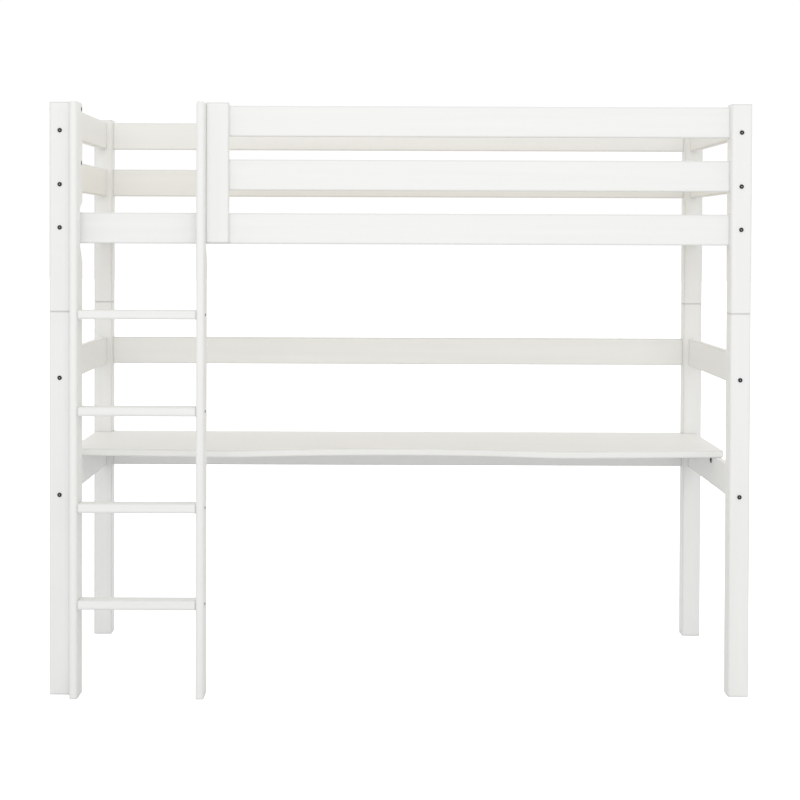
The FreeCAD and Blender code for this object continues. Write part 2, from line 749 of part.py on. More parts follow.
def stringer(side):
    label = side + "_ladder_stringer"
    body = new_body(label)
    outline = new_sketch(body, label + "_outline", "YZ_Plane")
    polygon(outline, (
        ("stringer_front", "0"),
        ("stringer_back", "0"),
        ("stringer_back", "notch_lead_bottom"),
        ("notch_floor", "notch_bottom"),
        ("notch_floor", "notch_top"),
        ("stringer_back", "notch_lead_top"),
        ("stringer_back", "overall_height"),
        ("stringer_front", "overall_height"),
    ))
    block = pad(body, outline, "stringer_thickness")
    top = amount("overall_height")
    cornered = round_edges(
        body, block, "stringer_corner_radius",
        lambda edge: lies_at(edge, "Z", top) and edge.BoundBox.XLength > 1.0,
        label + "_top_corners",
    )
    round_edges(
        body, cornered, "stringer_edge_radius",
        lambda edge: edge.BoundBox.XLength < 1e-6 and not lies_at(edge, "Z", 0.0),
        label + "_long_edges",
    )
    if side == "left":
        bolt_points = [("ladder_bolt_y", z) for z in LADDER_BOLT_HEIGHTS]
        drill(body, label + "_bolt_recesses", "YZ_Plane", "stringer_thickness", -1,
              bolt_points, "ladder_bolt_recess", "ladder_bolt_sink")
    else:
        bolt_points = [("post_depth/2", level + " + high_hole_height") for level in LADDER_LEVELS]
    drill(body, label + "_bolts", "YZ_Plane", "- stringer_thickness", 1,
          bolt_points, "bolt_bore", "stringer_thickness*3")
    rungs = range(RUNG_COUNT)
    drill(body, label + "_rung_screws", "YZ_Plane", "- stringer_thickness", 1,
          [(RUNG_CENTRE_Y, rung_middle(number)) for number in rungs],
          "screw_bore", "stringer_thickness*3")
    dowel_points = []
    for number in rungs:
        for sign in (" - ", " + "):
            dowel_points.append((RUNG_CENTRE_Y + sign + "rung_dowel_spread/2", rung_middle(number)))
    start, towards = ("stringer_thickness", -1) if side == "left" else ("0", 1)
    drill(body, label + "_rung_dowels", "YZ_Plane", start, towards, dowel_points,
          "dowel_bore", "rung_dowel_depth")
    if side == "right":
        drill(body, label + "_rail_dowels", "YZ_Plane", "stringer_thickness", -1,
              [("post_depth/2", level + " + low_hole_height") for level in LADDER_LEVELS],
              "dowel_bore", "dowel_hole_depth")
    place(body, "left_face_x + %s_stringer_x" % side, "front_face_y", "0")
    nodes.append(body)


def rung(number):
    label = "ladder_rung_%d" % (number + 1)
    body = new_body(label)
    outline = new_sketch(body, label + "_outline", "YZ_Plane")
    rounded_rectangle(outline, "rung_depth", "rung_thickness", "rung_edge_radius")
    pad(body, outline, "rung_length")
    dowel_points = (("- rung_dowel_spread/2", "0"), ("rung_dowel_spread/2", "0"))
    for name, start, towards in (("left", "0", 1), ("right", "rung_length", -1)):
        drill(body, "%s_%s_screw" % (label, name), "YZ_Plane", start, towards, (("0", "0"),),
              "screw_bore", "rung_screw_bite")
        drill(body, "%s_%s_dowels" % (label, name), "YZ_Plane", start, towards, dowel_points,
              "dowel_bore", "rung_dowel_bite")
    inner_left = "left_face_x + left_stringer_x + stringer_thickness"
    inner_right = "left_face_x + right_stringer_x"
    centre_y = "front_face_y + " + RUNG_CENTRE_Y
    dowel_reach = "rung_dowel_bite - dowel_length/2 - dowel_tip_gap"
    place(body, inner_left, centre_y, rung_middle(number))
    nodes.append(body)

    z = rung_middle(number)
    copy_to("rung_screws", long_screw, "+X", "left_face_x + left_stringer_x", centre_y, z)
    copy_to("rung_screws", long_screw, "-X", inner_right + " + stringer_thickness", centre_y, z)
    for sign in (" - ", " + "):
        y = centre_y + sign + "rung_dowel_spread/2"
        copy_to("dowels", dowel, "+X", inner_left + " + " + dowel_reach, y, z)
        copy_to("dowels", dowel, "+X", inner_right + " " + negated(dowel_reach), y, z)


stringer("left")
stringer("right")
for rung_number in range(RUNG_COUNT):
    rung(rung_number)
for bolt_z in LADDER_BOLT_HEIGHTS:
    bolt_y = "front_face_y + ladder_bolt_y"
    copy_to("ladder_bolts", stringer_post_bolt, "-X",
            "left_face_x + left_stringer_x + stringer_thickness - ladder_bolt_sink", bolt_y, bolt_z)
    copy_to("ladder_spacers", spacer, "+X", "left_face_x + post_width", bolt_y, bolt_z)
    copy_to("ladder_sleeve_nuts", sleeve_nut, "+X", "left_face_x", bolt_y, bolt_z)


# Desk top with a waved front edge, notched round the rear posts.


def arc_between(sketch, centre, radius, start, end):
    """An arc from start to end, counter-clockwise about its centre."""
    first = math.atan2(start[1] - centre[1], start[0] - centre[0])
    last = math.atan2(end[1] - centre[1], end[0] - centre[0])
    if last < first:
        last += 2.0 * math.pi
    circle = Part.Circle(Vector(*centre, 0), Vector(0, 0, 1), radius)
    return sketch.addGeometry(Part.ArcOfCircle(circle, first, last), False)


def tangent_point(point, centre, radius, turn):
    """Where a line from a point touches a circle, on the side given by turn (+1 or -1)."""
    dx = centre[0] - point[0]
    dy = centre[1] - point[1]
    distance = math.hypot(dx, dy)
    angle = math.atan2(dy, dx) + turn * math.asin(radius / distance)
    reach = math.sqrt(distance ** 2 - radius ** 2)
    return point[0] + reach * math.cos(angle), point[1] + reach * math.sin(angle)


def desk_outline(sketch):
    """The plan of the desk top, drawn from its own left end and the front posts' front face."""
    length = amount("desk_length")
    middle = length / 2.0
    back = amount("desk_back")
    notch = amount("desk_notch_front")
    notch_left = amount("post_width + desk_notch_gap - desk_left")
    notch_right = amount("overall_length - post_width - desk_notch_gap - desk_left")
    corner = amount("desk_corner_radius")
    end_front = amount("desk_end_front")
    offset = amount("desk_lobe_offset")
    lobe = amount("desk_lobe_radius")
    lobe_y = amount("desk_lobe_front") + lobe
    wave = amount("desk_middle_front - desk_lobe_front")
    hollow = (offset ** 2 + wave ** 2) / (2.0 * wave) - lobe
    hollow_y = amount("desk_middle_front") - hollow
    share = lobe / (lobe + hollow)
    meet_x = offset * (1.0 - share)
    meet_y = lobe_y + (hollow_y - lobe_y) * share

    left_lobe = (middle - offset, lobe_y)
    right_lobe = (middle + offset, lobe_y)
    left_start = (corner, end_front)
    left_touch = tangent_point(left_start, left_lobe, lobe, -1)
    right_start = (length - corner, end_front)
    right_touch = tangent_point(right_start, right_lobe, lobe, 1)
    corner_y = end_front + corner

    def line(start, end):
        return sketch.addGeometry(Part.LineSegment(Vector(*start, 0), Vector(*end, 0)), False)

    left_edge = line((0, notch), (0, corner_y))
    left_corner = arc_between(sketch, (corner, corner_y), corner, (0, corner_y), left_start)
    left_line = line(left_start, left_touch)
    left_arc = arc_between(sketch, left_lobe, lobe, left_touch, (middle - meet_x, meet_y))
    middle_arc = arc_between(sketch, (middle, hollow_y), hollow,
                             (middle + meet_x, meet_y), (middle - meet_x, meet_y))
    right_arc = arc_between(sketch, right_lobe, lobe, (middle + meet_x, meet_y), right_touch)
    right_line = line(right_touch, right_start)
    right_corner = arc_between(sketch, (length - corner, corner_y), corner,
                               right_start, (length, corner_y))
    right_edge = line((length, corner_y), (length, notch))
    back_points = (
        (length, notch), (notch_right, notch), (notch_right, back),
        (notch_left, back), (notch_left, notch), (0, notch),
    )
    back_lines = [line(*ends) for ends in zip(back_points, back_points[1:])]

    join(sketch, "Tangent", left_edge, 2, left_corner, 1)
    join(sketch, "Tangent", left_corner, 2, left_line, 1)
    join(sketch, "Tangent", left_line, 2, left_arc, 1)
    join(sketch, "Tangent", left_arc, 2, middle_arc, 2)
    join(sketch, "Tangent", middle_arc, 1, right_arc, 1)
    join(sketch, "Tangent", right_arc, 2, right_line, 1)
    join(sketch, "Tangent", right_line, 2, right_corner, 1)
    join(sketch, "Tangent", right_corner, 2, right_edge, 1)
    chain = [right_edge] + back_lines + [left_edge]
    for first, second in zip(chain, chain[1:]):
        join(sketch, "Coincident", first, 2, second, 1)
    for index, item in enumerate(back_lines):
        join(sketch, "Vertical" if index % 2 else "Horizontal", item)
    join(sketch, "Vertical", left_edge)
    join(sketch, "Vertical", right_edge)
    join(sketch, "PointOnObject", left_edge, 1, -2)
    limit(sketch, "Length", "desk_length", "DistanceX", -1, 1, right_edge, 2)
    limit(sketch, "NotchFront", "desk_notch_front", "DistanceY", -1, 1, right_edge, 2)
    join(sketch, "Horizontal", right_edge, 2, left_edge, 1)
    limit(sketch, "NotchLeft", "post_width + desk_notch_gap - desk_left",
          "DistanceX", -1, 1, back_lines[3], 1)
    limit(sketch, "NotchRight", "overall_length - post_width - desk_notch_gap - desk_left",
          "DistanceX", -1, 1, back_lines[1], 1)
    limit(sketch, "Back", "desk_back", "DistanceY", -1, 1, back_lines[2], 1)
    limit(sketch, "CornerRadius", "desk_corner_radius", "Radius", left_corner)
    join(sketch, "Equal", left_corner, right_corner)
    limit(sketch, "LeftCornerY", "desk_end_front + desk_corner_radius",
          "DistanceY", -1, 1, left_corner, 3)
    limit(sketch, "RightCornerY", "desk_end_front + desk_corner_radius",
          "DistanceY", -1, 1, right_corner, 3)
    limit(sketch, "LobeRadius", "desk_lobe_radius", "Radius", left_arc)
    join(sketch, "Equal", left_arc, right_arc)
    limit(sketch, "LeftLobeX", "desk_length/2 - desk_lobe_offset", "DistanceX", -1, 1, left_arc, 3)
    limit(sketch, "RightLobeX", "desk_length/2 + desk_lobe_offset", "DistanceX", -1, 1, right_arc, 3)
    limit(sketch, "LeftLobeY", "desk_lobe_front + desk_lobe_radius",
          "DistanceY", -1, 1, left_arc, 3)
    limit(sketch, "RightLobeY", "desk_lobe_front + desk_lobe_radius",
          "DistanceY", -1, 1, right_arc, 3)
    index = sketch.addConstraint(Sketcher.Constraint("Radius", middle_arc, hollow))
    sketch.renameConstraint(index, "HollowRadius")
    depth = formula("desk_middle_front - desk_lobe_front")
    sketch.setExpression(
        "Constraints.HollowRadius",
        "(%s ^ 2 + (%s) ^ 2) / (2 * (%s)) - %s"
        % (formula("desk_lobe_offset"), depth, depth, formula("desk_lobe_radius")),
    )


DESK_X = "left_face_x + desk_left"
DESK_BOTTOM = "desk_rail_level + rail_height"
desk = new_body("desk_top")
desk_sketch = new_sketch(desk, "desk_top_outline", "XY_Plane")
desk_outline(desk_sketch)
desk_block = pad(desk, desk_sketch, "desk_thickness")
desk_notch_y = amount("desk_notch_front")


def is_front_or_side(edge):
    box = edge.BoundBox
    level = lies_at(edge, "Z", 0.0) or lies_at(edge, "Z", amount("desk_thickness"))
    return level and box.YMin < desk_notch_y - 1.0


round_edges(desk, desk_block, "desk_edge_radius", is_front_or_side, "desk_top_front_edge")


# Angle brackets under the desk, on the end rails' inner faces and the rear rail's front face.

bracket = new_body("bracket_master")
bracket_outline = new_sketch(bracket, "bracket_outline", "XZ_Plane", "- bracket_width/2")
polygon(bracket_outline, (
    ("0", "0"),
    ("0", "- bracket_leg"),
    ("bracket_plate", "- bracket_leg"),
    ("bracket_plate", "- bracket_plate"),
    ("bracket_leg", "- bracket_plate"),
    ("bracket_leg", "0"),
))
pad(bracket, bracket_outline, "bracket_width")
drill(bracket, "bracket_rail_hole", "YZ_Plane", "- bracket_plate", 1,
      (("0", "- bracket_hole"),), "screw_bore", "bracket_plate*3")
drill(bracket, "bracket_desk_hole", "XY_Plane", "- bracket_plate*2", 1,
      (("bracket_hole", "0"),), "screw_bore", "bracket_plate*3")

LEFT_INNER = "left_face_x + post_width/2 + rail_thickness/2"
RIGHT_INNER = "- left_face_x - post_width/2 - rail_thickness/2"
REAR_INNER = "front_face_y + overall_width - post_depth/2 - rail_thickness/2"
# Each place: the bracket's outward direction, and its corner's position.
bracket_places = []
for row in ("front", "rear"):
    bracket_places.append(("+X", LEFT_INNER, "front_face_y + left_%s_bracket_y" % row))
    bracket_places.append(("-X", RIGHT_INNER, "front_face_y + right_%s_bracket_y" % row))
for bracket_x in ("0 - bracket_side_x", "0", "bracket_side_x"):
    bracket_places.append(("-Y", bracket_x, REAR_INNER))
desk_points = []
for facing, corner_x, corner_y in bracket_places:
    copy_to("desk_brackets", bracket, facing, corner_x, corner_y, DESK_BOTTOM)
    hole_x, hole_y, plate_x, plate_y = corner_x, corner_y, corner_x, corner_y
    if facing == "-Y":
        hole_y += " - bracket_hole"
        plate_y += " - bracket_plate"
    else:
        sign = " + " if facing == "+X" else " - "
        hole_x += sign + "bracket_hole"
        plate_x += sign + "bracket_plate"
    desk_points.append((hole_x + " - left_face_x - desk_left", hole_y + " - front_face_y"))
    copy_upright("bracket_screws", short_screw, hole_x, hole_y, DESK_BOTTOM + " - bracket_plate")
    copy_to("bracket_screws", short_screw, OPPOSITE[facing], plate_x, plate_y,
            DESK_BOTTOM + " - bracket_hole")
drill(desk, "desk_top_screws", "XY_Plane", "0", 1, desk_points, "screw_bore", "short_screw_length")
place(desk, DESK_X, "front_face_y", DESK_BOTTOM)
nodes.append(desk)

screw_height = "rail_height/2 - bracket_hole"
for side_name in ("left", "right"):
    along = []
    for row in ("front", "rear"):
        bracket_y = "%s_%s_bracket_y" % (side_name, row)
        if side_name == "left":
            along.append((bracket_y + " - post_depth", screw_height))
        else:
            along.append(("overall_width - post_depth - " + bracket_y, screw_height))
    drill(rails[side_name, "desk_rail_level"], side_name + "_end_desk_rail_screws", "XZ_Plane",
          "- rail_thickness/2", 1, along, "screw_bore", "short_screw_length")
along = [(x + " - left_face_x - post_width", screw_height)
         for x in ("0 - bracket_side_x", "0", "bracket_side_x")]
drill(rails["rear", "desk_rail_level"], "rear_desk_rail_screws", "XZ_Plane",
      "- rail_thickness/2", 1, along, "screw_bore", "short_screw_length")


# Slatted base: a bearer on each long bed rail, with slats across them.

SLAT_XS = ["slat_pitch*%d - slat_first_offset" % number for number in range(SLAT_COUNT)]
BEARER_SCREW_XS = ["slat_pitch*%g - slat_first_offset" % (number + 0.5)
                   for number in range(0, SLAT_COUNT - 1, 2)]
SLAT_LEVEL = "bearer_level + bearer_height"
SLAT_SCREW_Y = "overall_width/2 - post_depth/2 - rail_thickness/2 - bearer_thickness/2"
BED_MIDDLE_Y = "front_face_y + overall_width/2"


def bearer(side):
    label = side + "_slat_bearer"
    body = new_body(label)
    outline = new_sketch(body, label + "_outline", "YZ_Plane", "- overall_length/2 + post_width")
    rounded_rectangle(outline, "bearer_thickness", "bearer_height", "slat_edge_radius")
    pad(body, outline, LONG_RAIL_LENGTH)
    drill(body, label + "_slat_screws", "XY_Plane", "bearer_height/2", -1,
          [(x, "0") for x in SLAT_XS], "screw_bore",
          "long_screw_length - slat_thickness + slat_screw_sink + screw_tip_gap")
    level = "bearer_screw_height - bearer_height/2"
    drill(body, label + "_rail_screws", "XZ_Plane", "- bearer_thickness", 1,
          [(x, level) for x in BEARER_SCREW_XS], "screw_bore", "bearer_thickness*2")
    inner = "post_depth/2 + rail_thickness/2"
    screw_z = "bearer_level + bearer_screw_height"
    if side == "front":
        centre_y = "front_face_y + " + inner + " + bearer_thickness/2"
        screw_y = "front_face_y + " + inner + " + bearer_thickness"
    else:
        rear_face = "front_face_y + overall_width - post_depth/2 - rail_thickness/2"
        centre_y = rear_face + " - bearer_thickness/2"
        screw_y = rear_face + " - bearer_thickness"
    place(body, "0", centre_y, "bearer_level + bearer_height/2")
    nodes.append(body)
    for x in BEARER_SCREW_XS:
        copy_to("long_screws", long_screw, "-Y" if side == "front" else "+Y",
                x, screw_y, screw_z)
    face, towards = ("rail_thickness/2", -1) if side == "front" else ("- rail_thickness/2", 1)
    points = [(x + " - left_face_x - post_width", screw_z + " - bed_rail_level - rail_height/2")
              for x in BEARER_SCREW_XS]
    drill(rails[side, "bed_rail_level"], side + "_bed_rail_screws", "XZ_Plane",
          face, towards, points, "screw_bore", "short_screw_length")


def slat(number):
    label = "bed_slat_%02d" % (number + 1)
    body = new_body(label)
    outline = new_sketch(body, label + "_outline", "XZ_Plane", "- slat_length/2")
    rounded_rectangle(outline, "slat_width", "slat_thickness", "slat_edge_radius")
    pad(body, outline, "slat_length")
    screw_points = (("0", SLAT_SCREW_Y), ("0", negated(SLAT_SCREW_Y)))
    drill(body, label + "_screws", "XY_Plane", "slat_thickness", -1,
          screw_points, "screw_bore", "slat_thickness*2")
    drill(body, label + "_recesses", "XY_Plane", "slat_thickness/2", -1,
          screw_points, "slat_screw_recess", "slat_screw_sink")
    place(body, SLAT_XS[number], BED_MIDDLE_Y, SLAT_LEVEL + " + slat_thickness/2")
    nodes.append(body)
    for y in (" + " + SLAT_SCREW_Y, " " + negated(SLAT_SCREW_Y)):
        copy_upright("long_screws", long_screw, SLAT_XS[number], BED_MIDDLE_Y + y,
                     SLAT_LEVEL + " + slat_thickness - slat_screw_sink", upwards=False)


bearer("front")
bearer("rear")
for slat_number in range(SLAT_COUNT):
    slat(slat_number)


# Each group of equal fasteners is one node made of separate solids.

for group_label, copies in groups.items():
    compound = doc.addObject("Part::Compound", group_label)
    compound.Label = group_label
    compound.Links = copies
    nodes.append(compound)

doc.recompute()

for item in doc.Objects:
    if "Invalid" in item.State or "Error" in item.State:
        raise RuntimeError("%s did not compute: %s" % (item.Label, item.State))
    if item.TypeId == "PartDesign::Pocket":
        removed = item.BaseFeature.Shape.Volume - item.Shape.Volume
        if removed < 1.0:
            raise RuntimeError("%s cuts nothing" % item.Label)
for item in nodes:
    if item.Shape.isNull() or not item.Shape.isValid():
        raise RuntimeError("%s has no valid shape" % item.Label)

os.makedirs("parts", exist_ok=True)
for item in nodes:
    item.Shape.exportStep("parts/%s.step" % item.Label)
print("%d nodes written" % len(nodes))
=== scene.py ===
import json
import math
import bpy
import bmesh
from mathutils import Matrix, Vector


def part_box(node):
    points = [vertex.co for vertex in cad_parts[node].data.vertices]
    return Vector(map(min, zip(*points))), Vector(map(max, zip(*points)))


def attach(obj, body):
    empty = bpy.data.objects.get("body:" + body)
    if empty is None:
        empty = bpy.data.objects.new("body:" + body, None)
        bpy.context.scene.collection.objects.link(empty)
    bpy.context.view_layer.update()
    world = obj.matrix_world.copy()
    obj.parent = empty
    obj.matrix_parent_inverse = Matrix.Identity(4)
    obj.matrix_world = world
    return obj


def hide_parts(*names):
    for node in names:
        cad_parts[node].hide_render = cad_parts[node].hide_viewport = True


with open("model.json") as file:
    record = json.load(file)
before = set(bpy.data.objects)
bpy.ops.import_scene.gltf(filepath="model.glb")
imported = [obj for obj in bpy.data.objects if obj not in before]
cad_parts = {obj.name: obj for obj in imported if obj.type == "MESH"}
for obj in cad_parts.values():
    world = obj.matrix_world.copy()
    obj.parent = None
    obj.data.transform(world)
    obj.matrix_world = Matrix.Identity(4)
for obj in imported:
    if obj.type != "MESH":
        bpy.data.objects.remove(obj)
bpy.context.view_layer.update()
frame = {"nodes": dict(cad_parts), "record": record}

# Camera: standing in front of the bed, a little left of its middle, at the height of the
# front bed rail.
CAMERA_PLACE = (-0.04923, -6.45388, 1.36609)
CAMERA_PITCH = math.radians(1.161)
CAMERA_ROLL = math.radians(0.207)
CAMERA_YAW = math.radians(0.016)
CAMERA_LENS = 90.455
CAMERA_SHIFT = (0.0194, -0.1506)

# Paint and metal colours, linear.
WHITE_PAINT = (0.904, 0.907, 0.892)
SHADED_PAINT = (0.878, 0.882, 0.865)
BLACK_METAL = (0.008, 0.008, 0.009)
BRIGHT_METAL = (0.62, 0.62, 0.60)
# The sockets' lighter grey is partly worn steel and partly a painted highlight at the bolt's
# centre.
WORN_SOCKET_AND_HIGHLIGHT = (0.40, 0.40, 0.40)
BARE_PINE_LIGHT = (0.80, 0.70, 0.50)
BARE_PINE_DARK = (0.70, 0.57, 0.36)
BARE_BEECH = (0.60, 0.38, 0.22)
BARE_BEECH_DARK = tuple(channel * 0.8 for channel in BARE_BEECH)
SPACER_PLASTIC = (0.72, 0.72, 0.70)

# Marks in the paint: the grain's stretch along a board, then sizes as noise scales.
PAINT_STRETCH = 28.0
FINE_GRAIN = 260.0
BROAD_GRAIN = 38.0
SPRAY_MARKS = 900.0
PAINT_ROUGHNESS = (0.40, 0.52)
PAINT_SPECULAR = 0.35
USUAL_SPECULAR = 0.5
# Growth lines in bare wood, and finer pores between them.
WOOD_STRETCH = 18.0
PINE_LINES = 55.0
BEECH_LINES = 120.0
PORES_PER_LINE = 6.0
WOOD_ROUGHNESS = 0.62
PLASTIC_TEXTURE = 1400.0
PLASTIC_ROUGHNESS = 0.45
PLASTIC_SHADE = 0.96
# Worn spots on metal: how much lighter they are, and how far the roughness strays each way.
WORN_GAIN = 1.35
WORN_LIFT = 0.004
SMOOTHER = 0.06
ROUGHER = 0.08

# Painted shade along a board's edges, where its rounded corners catch less light: how far from an
# edge, how open the wood behind a point has to be to count as flat, and how much darker the edge
# is.
EDGE_REACH = 0.0044
EDGE_OPENNESS = 0.85
PAINTED_EDGE_SHADE = 0.82
EDGE_RAYS = 8


class Nodes:
    """A short way to build one material's node tree."""

    def __init__(self, name):
        self.material = bpy.data.materials.new(name)
        self.material.use_nodes = True
        self.tree = self.material.node_tree
        self.shader = self.tree.nodes["Principled BSDF"]

    def add(self, kind, **settings):
        """A new node, with settings that name its properties or its inputs."""
        node = self.tree.nodes.new("ShaderNode" + kind)
        for key, value in settings.items():
            if hasattr(node, key):
                setattr(node, key, value)
            else:
                node.inputs[key.replace("_", " ")].default_value = value
        return node

    def link(self, source, target):
        self.tree.links.new(source, target)

    def grain_space(self, axis, stretch):
        """Object coordinates squeezed along the board, so that noise becomes long grain."""
        place = self.add("TexCoord")
        mapping = self.add("Mapping")
        self.link(place.outputs["Object"], mapping.inputs["Vector"])
        sizes = [1.0, 1.0, 1.0]
        sizes["XYZ".index(axis)] = 1.0 / stretch
        mapping.inputs["Scale"].default_value = sizes
        return mapping.outputs["Vector"]

    def noise(self, vector, scale, detail=3.0, roughness=0.55):
        node = self.add("TexNoise", Scale=scale, Detail=detail, Roughness=roughness)
        self.link(vector, node.inputs["Vector"])
        return node.outputs["Fac"]

    def ramp(self, value, stops):
        """Colours chosen by a value, from stops of position and colour."""
        node = self.add("ValToRGB")
        self.link(value, node.inputs["Fac"])
        elements = node.color_ramp.elements
        while len(elements) < len(stops):
            elements.new(0.5)
        for element, (position, colour) in zip(elements, stops):
            element.position = position
            element.color = (*colour, 1.0)
        return node.outputs["Color"]

    def paint_shade_on_edges(self, colour):
        """Paint shade into a colour where the board's own corner is near."""
        near = self.add("AmbientOcclusion", Distance=EDGE_REACH, inside=True, only_local=True,
                        samples=EDGE_RAYS)
        shade = self.add("MapRange", From_Min=EDGE_OPENNESS, To_Min=PAINTED_EDGE_SHADE)
        self.link(near.outputs["AO"], shade.inputs["Value"])
        scaled = self.add("VectorMath", operation="SCALE")
        self.link(colour, scaled.inputs[0])
        self.link(shade.outputs["Result"], scaled.inputs["Scale"])
        return scaled.outputs["Vector"]

    def bump(self, value, strength, distance, below=None):
        """A surface direction that follows a height, on top of another bump where one is given."""
        node = self.add("Bump", Strength=strength, Distance=distance)
        self.link(value, node.inputs["Height"])
        if below is not None:
            self.link(below, node.inputs["Normal"])
        return node.outputs["Normal"]


def painted_wood(axis):
    """Satin white paint over planed wood whose grain runs along one axis."""
    made = Nodes("white_paint_along_" + axis)
    grain = made.grain_space(axis, PAINT_STRETCH)
    fine = made.noise(grain, FINE_GRAIN, detail=4.0, roughness=0.6)
    broad = made.noise(grain, BROAD_GRAIN, detail=2.0, roughness=0.5)
    even_space = made.grain_space(axis, 1.0)
    spray = made.noise(even_space, SPRAY_MARKS, detail=2.0, roughness=0.5)
    colour = made.ramp(broad, ((0.30, SHADED_PAINT), (0.70, WHITE_PAINT)))
    # Painted shade: the paint's colour is darkened along the board's edges.
    made.link(made.paint_shade_on_edges(colour), made.shader.inputs["Base Color"])
    low, high = PAINT_ROUGHNESS
    rough = made.add("MapRange", From_Min=0.3, From_Max=0.7, To_Min=low, To_Max=high)
    made.link(broad, rough.inputs["Value"])
    made.link(rough.outputs["Result"], made.shader.inputs["Roughness"])
    grain_bump = made.bump(fine, strength=0.16, distance=0.0004)
    spray_bump = made.bump(spray, strength=0.06, distance=0.0003, below=grain_bump)
    made.link(spray_bump, made.shader.inputs["Normal"])
    made.shader.inputs["Specular IOR Level"].default_value = PAINT_SPECULAR
    return made.material


def bare_wood(name, axis, light, dark, scale):
    """Unpainted planed wood with growth lines along one axis."""
    made = Nodes(name)
    grain = made.grain_space(axis, WOOD_STRETCH)
    lines = made.noise(grain, scale, detail=5.0, roughness=0.62)
    pores = made.noise(grain, scale * PORES_PER_LINE, detail=3.0, roughness=0.6)
    made.link(made.ramp(lines, ((0.32, dark), (0.62, light))), made.shader.inputs["Base Color"])
    line_bump = made.bump(lines, strength=0.15, distance=0.0005)
    pore_bump = made.bump(pores, strength=0.12, distance=0.0003, below=line_bump)
    made.link(pore_bump, made.shader.inputs["Normal"])
    made.shader.inputs["Roughness"].default_value = WOOD_ROUGHNESS
    return made.material


def metal(name, colour, roughness, metallic, speckle, specular):
    """Coated or plated steel with a fine uneven finish."""
    made = Nodes(name)
    even_space = made.grain_space("X", 1.0)
    mottle = made.noise(even_space, speckle, detail=3.0, roughness=0.6)
    worn = tuple(min(1.0, channel * WORN_GAIN + WORN_LIFT) for channel in colour)
    made.link(made.ramp(mottle, ((0.35, colour), (0.75, worn))), made.shader.inputs["Base Color"])
    rough = made.add("MapRange", From_Min=0.3, From_Max=0.7, To_Min=roughness - SMOOTHER,
                     To_Max=roughness + ROUGHER)
    made.link(mottle, rough.inputs["Value"])
    made.link(rough.outputs["Result"], made.shader.inputs["Roughness"])
    mottle_bump = made.bump(mottle, strength=0.08, distance=0.0001)
    made.link(mottle_bump, made.shader.inputs["Normal"])
    made.shader.inputs["Metallic"].default_value = metallic
    made.shader.inputs["Specular IOR Level"].default_value = specular
    return made.material


def moulded_plastic(name, colour):
    """Plain plastic with a fine moulded texture."""
    made = Nodes(name)
    even_space = made.grain_space("X", 1.0)
    texture = made.noise(even_space, PLASTIC_TEXTURE, detail=2.0, roughness=0.5)
    darker = tuple(channel * PLASTIC_SHADE for channel in colour)
    made.link(made.ramp(texture, ((0.4, darker), (0.6, colour))), made.shader.inputs["Base Color"])
    texture_bump = made.bump(texture, strength=0.1, distance=0.0001)
    made.link(texture_bump, made.shader.inputs["Normal"])
    made.shader.inputs["Roughness"].default_value = PLASTIC_ROUGHNESS
    return made.material


paint = {axis: painted_wood(axis) for axis in "XYZ"}
pine_x = bare_wood("bare_pine_along_X", "X", BARE_PINE_LIGHT, BARE_PINE_DARK, PINE_LINES)
pine_y = bare_wood("bare_pine_along_Y", "Y", BARE_PINE_LIGHT, BARE_PINE_DARK, PINE_LINES)
beech = bare_wood("bare_beech", "X", BARE_BEECH, BARE_BEECH_DARK, BEECH_LINES)
black_metal = metal("black_steel", BLACK_METAL, roughness=0.36, metallic=0.0, speckle=700.0,
                    specular=0.15)
bright_metal = metal("zinc_steel", BRIGHT_METAL, roughness=0.30, metallic=1.0, speckle=500.0,
                     specular=USUAL_SPECULAR)
# Worn steel and a painted highlight in the bolts' sockets.
worn_socket_and_highlight = metal("worn_socket_and_highlight", WORN_SOCKET_AND_HIGHLIGHT, roughness=0.45, metallic=0.0, speckle=900.0,
                    specular=USUAL_SPECULAR)
spacer_plastic = moulded_plastic("spacer_plastic", SPACER_PLASTIC)

SLOT_MATERIALS = {
    "black_steel": black_metal,
    "zinc_steel": bright_metal,
    "bare_beech": beech,
    "spacer_plastic": spacer_plastic,
}


def long_axis(node):
    """The axis along which a board's grain runs: its longest side."""
    low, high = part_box(node)
    sides = list(high - low)
    return "XYZ"[sides.index(max(sides))]


slot_of = {entry["node"]: entry["material_slot"] for entry in frame["record"]["subparts"]}
for node, item in frame["nodes"].items():
    slot_name = slot_of[node]
    if slot_name == "white_painted_wood":
        material = paint[long_axis(node)]
    elif slot_name == "bare_pine":
        material = pine_x if long_axis(node) == "X" else pine_y
    else:
        material = SLOT_MATERIALS[slot_name]
    for index in range(len(item.data.materials)):
        item.data.materials[index] = material
    if not item.data.materials:
        item.data.materials.append(material)

# Bolts with a domed head and a hexagonal socket, one at each of the CAD bolts.
# Their shanks' radii are the CAD bolts' own.

HEAD_HEIGHT = 0.003
SHANK_RADII = {
    "post_bolts": 0.003,
    "side_bolts": 0.003,
    "ladder_bolts": 0.003,
    "ladder_sleeve_nuts": 0.004,
}
BOLT_SIDES = 24
MERGE_DISTANCE = 1e-5
SOCKET_APOTHEM = 0.0021
SOCKET_RIM = 0.0029
SOCKET_DEPTH = 0.0021
SOCKET_CHAMFER = 0.0003
TIP_CHAMFER = 0.0005
# A corner of a bolt further out than this share of its radius is on the rim of its head.
RIM_SHARE = 0.95
# The head's side, from its underside to its crown: share of the head's height and of its radius.
HEAD_CURVE = ((0.0, 1.0), (0.5, 1.0), (0.72, 0.97), (0.88, 0.88), (0.97, 0.74), (1.0, 0.58))


